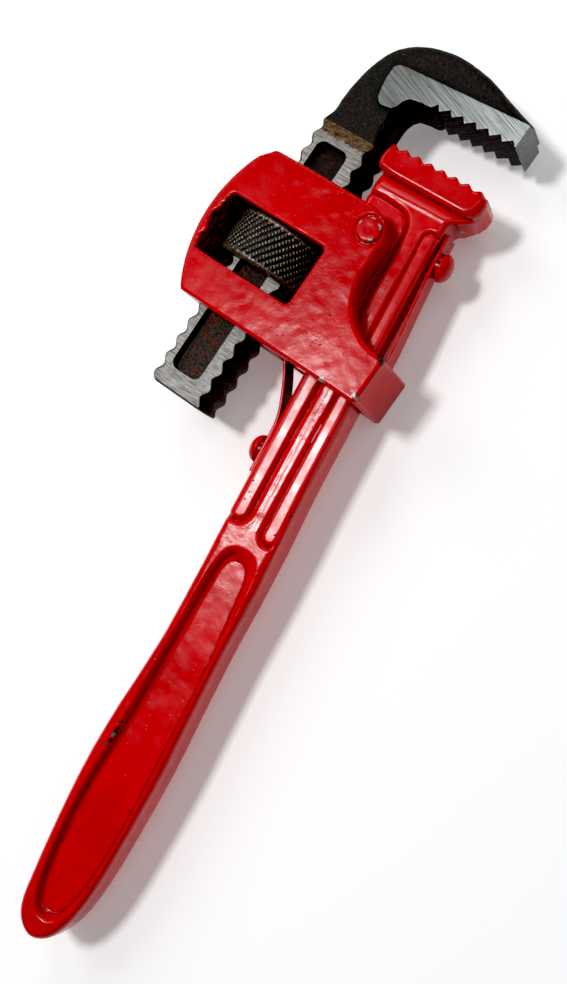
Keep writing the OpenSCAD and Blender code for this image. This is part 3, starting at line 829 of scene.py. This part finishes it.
def hook_steel():
    """The hook jaw: forging scale, oily threads, milled flats with a pocket, and ground jaw faces."""
    s = Shader("hook_forged_and_ground")
    u, v = local_axes(s)
    h = s.math("ABSOLUTE", s.math("SUBTRACT", s.z, MID))
    bright, lines = ground_face(s, u)
    flat, mill = milled_flat(s, u, v)
    # where each finish lies
    from_middle = s.math("ABSOLUTE", s.add(u, -(POCKET[0] + POCKET[1]) / 2))
    in_pocket = s.mul(s.step(h, FLAT_HALF - 0.12, FLAT_HALF - 0.22), s.step(from_middle, 5.0, 4.8))
    in_pocket = s.mul(in_pocket, s.step(v, POCKET[3] + 0.4, POCKET[3] + 0.2))
    on_shank = s.step(v, THREAD_TOP + 0.06, THREAD_TOP - 0.06)
    on_flat = s.mul(on_shank, s.step(h, FLAT_HALF - 0.10, FLAT_HALF - 0.03))
    on_boss = s.step(h, HOOK_HALF + 0.45, HOOK_HALF + 0.6)
    nose = s.mul(s.step(u, 16.75, 16.95), s.step(v, 33.0, 34.0))
    on_ground = s.math("MAXIMUM", on_boss, nose)
    oily = s.mix(s.step(s.noise(1.3, 5.0, 0.7), 0.4, 0.64), (0.010, 0.009, 0.008), (0.05, 0.045, 0.04))
    color = s.mix(s.mul(on_shank, 0.9), forging_scale(s), oily)
    color = s.mix(on_flat, color, flat)
    color = s.mix(in_pocket, color, pocket_floor(s, v))
    color = s.mix(on_ground, color, bright)
    color = s.mix(s.mul(nose, 0.7), color, (0.085, 0.090, 0.090))
    metal = s.math("MAXIMUM", s.mul(on_ground, 0.75), s.mul(on_flat, 0.55))
    rough = s.mix(on_ground, (0.55, 0.55, 0.55), (0.40, 0.40, 0.40))
    rough = s.add(rough, s.mul(s.noise(0.8, 4.0), 0.12))
    clean = s.math("MAXIMUM", on_ground, on_flat)
    fine = s.math("MAXIMUM", s.mul(on_ground, lines), s.mul(on_flat, mill))
    normal = s.bump(fine, 0.05, 0.8)
    pits = s.add(s.noise(1.4, 5.0, 0.65), s.mul(s.noise(0.35, 3.0), 1.4))
    normal = s.bump(s.mul(s.math("SUBTRACT", 1.0, clean), pits), 0.25, 0.9, normal)
    s.set(base_color=color, metallic=metal, roughness=rough, normal=normal, specular_ior_level=0.2)
    return s.mat


def nut_steel():
    """Dark oiled steel, with painted shade darkening the knurl's grooves so its points stand out bright."""
    s = Shader("nut_knurled_steel")
    deep = s.attr("deep")
    tone = s.noise(0.16, 3.0)
    body = s.mix(s.step(tone, 0.38, 0.62), (0.12, 0.105, 0.078), (0.095, 0.064, 0.038))
    body = s.mix(s.step(s.noise(1.9, 5.0, 0.7), 0.5, 0.68), body, (0.46, 0.44, 0.38))
    # painted shade: near black deep in the knurl's grooves
    color = s.mix(s.step(deep, 0.10, 0.62), body, (0.006, 0.005, 0.004))
    rough = s.step(s.noise(0.9, 4.0), 0.3, 0.7, 0.24, 0.42)
    normal = s.bump(s.noise(2.0, 5.0, 0.65), 0.14, 0.9)
    s.set(base_color=color, metallic=0.6, roughness=rough, normal=normal)
    return s.mat


def floor_board():
    """Plain pale floor that glows a little, so shadows on it stay soft."""
    s = Shader("floor_pale")
    tone = s.mix(s.step(s.noise(0.004, 2.0), 0.3, 0.7), (0.93, 0.93, 0.93), (0.945, 0.945, 0.945))
    s.set(base_color=tone, roughness=0.9, specular_ior_level=0.0)
    s.set(emission_color=(1.0, 1.0, 1.0), emission_strength=0.19)
    return s.mat


# ---------------------------------------------------------------- the pieces

STEP = 1.0

# where paint is chipped (x, y, height, radius), and where the chip shows bare steel, not scale
HANDLE_CHIPS = [
    (1.1, -133.4, 6.0, 0.5), (0.9, -135.8, 6.0, 0.7), (1.0, -138.1, 6.0, 1.0), (1.1, -139.7, 6.0, 1.3),
    (0.9, -141.6, 6.0, 1.0), (-0.8, -143.1, 6.0, 0.6), (15.5, -175.2, 5.2, 0.6), (13.7, -175.5, 5.6, 0.45),
    (17.0, -169.3, 4.5, 0.6), (17.0, -149.2, 4.5, 0.6), (0.7, -154.5, 4.6, 0.6), (0.7, -163.0, 4.4, 0.4),
    (1.2, -170.0, 4.4, 0.5), (-0.6, -77.3, 5.2, 0.9), (14.4, -70.5, 5.4, 0.55), (13.4, -76.3, 6.0, 0.35),
    (9.0, -42.0, 6.0, 0.35), (16.5, 12.4, 0.0, 1.2)]
HANDLE_BARE = [(16.5, 12.4, 0.0, 2.0), (1.0, -140.0, 6.0, 0.9)]
HOUSING_CHIPS = [
    (21.4, -25.0, 13.0, 1.4), (11.4, -36.8, 13.4, 1.2), (20.7, -35.7, 13.4, 1.1), (-36.9, -25.8, 13.4, 0.6),
    (-16.5, 5.6, 13.4, 0.6), (-10.0, 5.6, 13.4, 0.5), (-18.0, -2.3, HOUSING_HALF, 0.4)]
HOUSING_BARE = [(11.4, -36.6, 13.2, 3.0), (20.6, -35.6, 13.2, 3.0)]
# worn places round the pivot rivet's head: angle and half width in degrees
RIVET_WEAR = ((35, 22), (95, 14), (165, 14), (-55, 16))


def build_handle(paint):
    """The handle: its ribs, heel jaw and recess stay smoother than its sides and grip."""
    p, f = contour(handle_field, (-10.6, -196, -8.2), (22.3, 25.5, 8.2), 0.4 * STEP)
    curve, n = curve_of(handle_field, p), gradient(handle_field, p)
    x, y = p[:, 0], p[:, 1]
    on_ribs = np.maximum(ease(3.9, 3.2, x), ease(9.8, 10.6, x)) * ease(-80, -77.5, y) * ease(4, -6, y)
    calm = np.maximum(on_ribs, np.maximum(0.8 * ease(6, 9, y), 0.5 * ease(-84, -92, y)))
    rough = 0.05 * lumps(*p.T, 5.0) + 0.035 * lumps(*p.T, 2.2)
    p = p + n * ((1 - 0.8 * calm) * rough)[:, None]
    piece("handle_forging", p, f, paint, ["handle"], "handle_paint", "handle",
          curve=curve, wear=spots(p, HANDLE_CHIPS), bare=spots(p, HANDLE_BARE), calm=calm)


def build_housing(paint):
    """The housing, with painted shade on the walls of its window."""
    p, f = contour(housing_field, (-42, -38.6, -14.6), (23.2, 7, 14.6), 0.4 * STEP)
    curve, n = curve_of(housing_field, p), gradient(housing_field, p)
    p = p + n * (0.05 * lumps(*p.T, 4.5) + 0.03 * lumps(*p.T, 2.0) - 0.04)[:, None]
    in_window = ease(2.2, 1.2, np.abs(WINDOW_SIDE(p[:, 0], p[:, 1])))
    # painted shade: marks the window's inner walls to be darkened
    deep = ease(0.4, 1.6, HOUSING_HALF - np.abs(p[:, 2])) * in_window
    piece("housing_forging", leaned(p), f, paint, ["housing"], "housing_paint", "housing",
          curve=curve, wear=spots(p, HOUSING_CHIPS), bare=spots(p, HOUSING_BARE), deep=deep)


def build_pivot_rivet(paint):
    """The pivot rivet, with paint worn off the edge of its low head."""
    shank_r = PIVOT_R - 0.05
    head = [(-2 * HOUSING_HALF, 0.3), (-2 * HOUSING_HALF, shank_r), (0.0, shank_r)]
    head += [(0.0, PIVOT_HEAD_R - 0.05), (0.25, PIVOT_HEAD_R)]
    head += [
        (0.25 + 0.52 * math.sin(a), PIVOT_HEAD_R - 0.55 * (1 - math.cos(a)))
        for a in np.linspace(0.3, 1.5, 5)]
    head += [(0.8, 1.6), (0.76, 0.3)]
    p, f = lathe(dense(head, 3), 72, (0, 0, 1), (0, 0, HOUSING_HALF), 0.04)
    x, y, z = p.T
    rim = ease(2.2, 2.9, np.hypot(x, y)) * ease(HOUSING_HALF + 0.1, HOUSING_HALF + 0.4, z)
    angle = np.degrees(np.arctan2(y, x))
    worn = sum(np.exp(-(((angle - a + 180) % 360 - 180) / width) ** 2) for a, width in RIVET_WEAR)
    piece("pivot_rivet_head", p, f, paint, ["pivot_rivet"], "rivet_paint", "housing",
          curve=0 * rim, wear=np.clip(rim * worn, 0, 1), bare=rim)


def build_hook():
    """The hook jaw, rough where it is as forged, with painted shade round its boss and along its edges."""
    p, f = contour(hook_field, (-34.6, -61.2, -8.0), (18.2, 51.4, 8.0), 0.33 * STEP)
    curve, n = curve_of(hook_field, p), gradient(hook_field, p)
    past_teeth = ease(36.0, 38.5, p[:, 1] + 99 * (p[:, 0] < -15))
    forged = ease(20.3, 22, p[:, 1]) * ease(6.9, 6.7, np.abs(p[:, 2])) * past_teeth
    p = p + n * (forged * (0.10 * lumps(*p.T, 3.0) + 0.05 * lumps(*p.T, 1.2)))[:, None]
    out_of_boss = np.maximum(BOSS_SIDE(p[:, 0], p[:, 1]), 0)
    into_side = np.maximum(-HOOK_SIDE(p[:, 0], p[:, 1]), 0)
    # painted shade: darkest beside the boss and just inside the hook's outline
    grime = np.maximum(np.exp(-(out_of_boss / 2.2) ** 1.5), 0.9 * np.exp(-into_side / 1.6))
    piece("hook_forging", leaned(p), f, hook_steel(), ["hook_jaw"], "jaw_steel", "hook_jaw", sharp=32,
          curve=curve, grime=grime * ease(20, 22, p[:, 1]))


def build_nut():
    """The adjusting nut."""
    p, f, deep = nut_mesh()
    piece("nut_ring", leaned(p), f, nut_steel(), ["adjusting_nut"], "nut_steel", "nut", sharp=60, deep=deep)


def leaf_field(path, x0, hole_y):
    """Field of a leaf spring along a path, bored for its rivet, and its middle line."""
    line = smooth_path([(x0 + x, y) for x, y in path], 8)
    d = np.gradient(line, axis=0)
    side = np.stack([-d[:, 1], d[:, 0]], 1) / np.linalg.norm(d, axis=1, keepdims=True) * SPRING_T / 2
    shape = Outline(np.concatenate([line - side, (line + side)[::-1]]), step=0.08, margin=2.5)

    def field(x, y, z):
        strip = round_max(shape(x, y), np.abs(z) - SPRING_HALF, 0.3)
        return np.maximum(strip, PIN_R + 0.05 - np.hypot(y - hole_y, z))
    return field, line


def build_leaf(name, node, path, x0, y0, paint):
    """A leaf spring: it bends from its rivet on the handle to its free end on the housing."""
    field, line = leaf_field(path, x0, y0)
    lo, hi = line.min(0) - 1.2, line.max(0) + 1.2
    p, f = contour(field, (lo[0], lo[1], -4.2), (hi[0], hi[1], 4.2), 0.24 * STEP)
    # painted shade: the back leaf's inner face, toward the handle, is marked worn so that it shows black
    # scale
    inner = ease(0.5, 0.8, gradient(field, p)[:, 0]) * (x0 < 0) * ease(-62, -58, p[:, 1])
    obj = piece(name, p, f, paint, [node], "spring_paint",
                curve=np.clip(curve_of(field, p, 0.25), -1, 0.8), wear=inner, bare=0 * p[:, 0])
    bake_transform(obj)


def build_leaf_rivet(name, node, x, y, way, paint):
    """A leaf spring's rivet, its domed head toward way along x, with painted shade on its neck."""
    rise = RIVET_H - RIVET_NECK
    profile = [(-PIN_LENGTH, 0.2), (-PIN_LENGTH, PIN_R), (0.0, PIN_R), (0.0, NECK_R)]
    profile += [(RIVET_NECK - 0.1, NECK_R), (RIVET_NECK, NECK_R + 0.35)]
    profile += [
        (RIVET_NECK + rise * math.sin(a), RIVET_R * math.cos(a) ** 0.8) for a in np.linspace(0.1, 1.5, 14)]
    profile += [(RIVET_H, 0.15)]
    p, f = lathe(dense(profile, 2), 56, (way, 0, 0), (x, y, 0), 0.05, seed=9.0 * way)
    none = 0 * p[:, 0]
    # painted shade on the neck, in the gap under the head
    shaded_neck = ease(RIVET_NECK + 0.15, RIVET_NECK - 0.1, way * (p[:, 0] - x))
    piece(name, p, f, paint, [node], "rivet_paint", "handle", curve=none, wear=none, bare=none, deep=shaded_neck)


handle_paint = red_enamel("paint_handle")
housing_paint = red_enamel("paint_housing", 0.98, 1.22)
rivet_paint = red_enamel("paint_rivets", 1.0, 1.26)
spring_paint = red_enamel("paint_springs", 0.95, 1.26)

build_handle(handle_paint)
build_housing(housing_paint)
build_pivot_rivet(rivet_paint)
build_hook()
build_nut()

# x of the leaf springs' inner faces and of their rivets' heads
front_leaf, back_leaf = FRONT_SIDE + SEAT + AIR, BACK_SIDE - AIR
front_head, back_head = front_leaf + SPRING_T + AIR, back_leaf - SPRING_T - AIR
build_leaf("front_leaf", "front_spring", FRONT_LEAF, front_leaf + SPRING_T / 2, FRONT_RIVET_Y, spring_paint)
build_leaf("back_leaf", "back_spring", BACK_LEAF, back_leaf - SPRING_T / 2, BACK_RIVET_Y, spring_paint)
build_leaf_rivet("front_leaf_rivet", "front_spring_rivet", front_head, FRONT_RIVET_Y, 1, rivet_paint)
build_leaf_rivet("back_leaf_rivet", "back_spring_rivet", back_head, BACK_RIVET_Y, -1, rivet_paint)

# ---------------------------------------------------------------- floor, light and camera, in metres

FLOOR_HALF = 4.0
CENTRE = (0.0, -0.07, 0.02)             # what the lamps point at


def link(name, data):
    """An object of that data in the scene."""
    obj = bpy.data.objects.new(name, data)
    bpy.context.scene.collection.objects.link(obj)
    return obj


def floor():
    """A plain square floor under the wrench."""
    me = bpy.data.meshes.new("floor")
    r = FLOOR_HALF
    me.from_pydata([(-r, -r, 0), (r, -r, 0), (r, r, 0), (-r, r, 0)], [], [(0, 1, 2, 3)])
    me.materials.append(floor_board())
    return link("floor", me)


def studio_air(color, strength):
    """Faint even light from all round."""
    world = bpy.data.worlds.new("studio")
    bpy.context.scene.world = world
    world.use_nodes = True
    sky = world.node_tree.nodes["Background"]
    sky.inputs["Color"].default_value = (*color, 1.0)
    sky.inputs["Strength"].default_value = strength


def lamp(name, place, width, height, watts):
    """A soft rectangular lamp that points at the wrench."""
    light = bpy.data.lights.new(name, "AREA")
    light.shape = "RECTANGLE"
    light.size, light.size_y, light.energy = width, height, watts
    obj = link(name, light)
    obj.location = place
    obj.rotation_euler = (Vector(CENTRE) - Vector(place)).to_track_quat("-Z", "Y").to_euler()


def camera(place, turn, focal):
    """The photograph's camera, turned by those angles about X, Y and Z."""
    lens = bpy.data.cameras.new("camera")
    lens.sensor_width, lens.lens = 36.0, focal
    lens.clip_start, lens.clip_end = 0.01, 20.0
    obj = link("camera", lens)
    obj.location = place
    obj.rotation_euler = [math.radians(angle) for angle in turn]
    bpy.context.scene.camera = obj


def tones(black_level):
    """Standard view with the black point lifted off the deepest tones."""
    view = bpy.context.scene.view_settings
    view.view_transform = "Standard"
    view.use_curve_mapping = True
    view.curve_mapping.black_level = (black_level, black_level, black_level)
    view.curve_mapping.update()


floor()
studio_air((0.97, 0.985, 1.0), 0.08)
lamp("softbox", (-0.335, -0.045, 1.0), 0.165, 0.13, 5.9)
lamp("side_light", (-1.35, 0.35, 1.25), 0.9, 0.9, 7.0)
lamp("window", (-0.65, 1.25, 1.2), 0.6, 0.6, 5.0)
lamp("overhead", (0.42, 0.35, 1.5), 1.0, 1.0, 3.4)
camera((0.104584, -0.060883, 0.295581), (8.38825, 17.08065, 29.73701), 43.17)
tones(0.016)
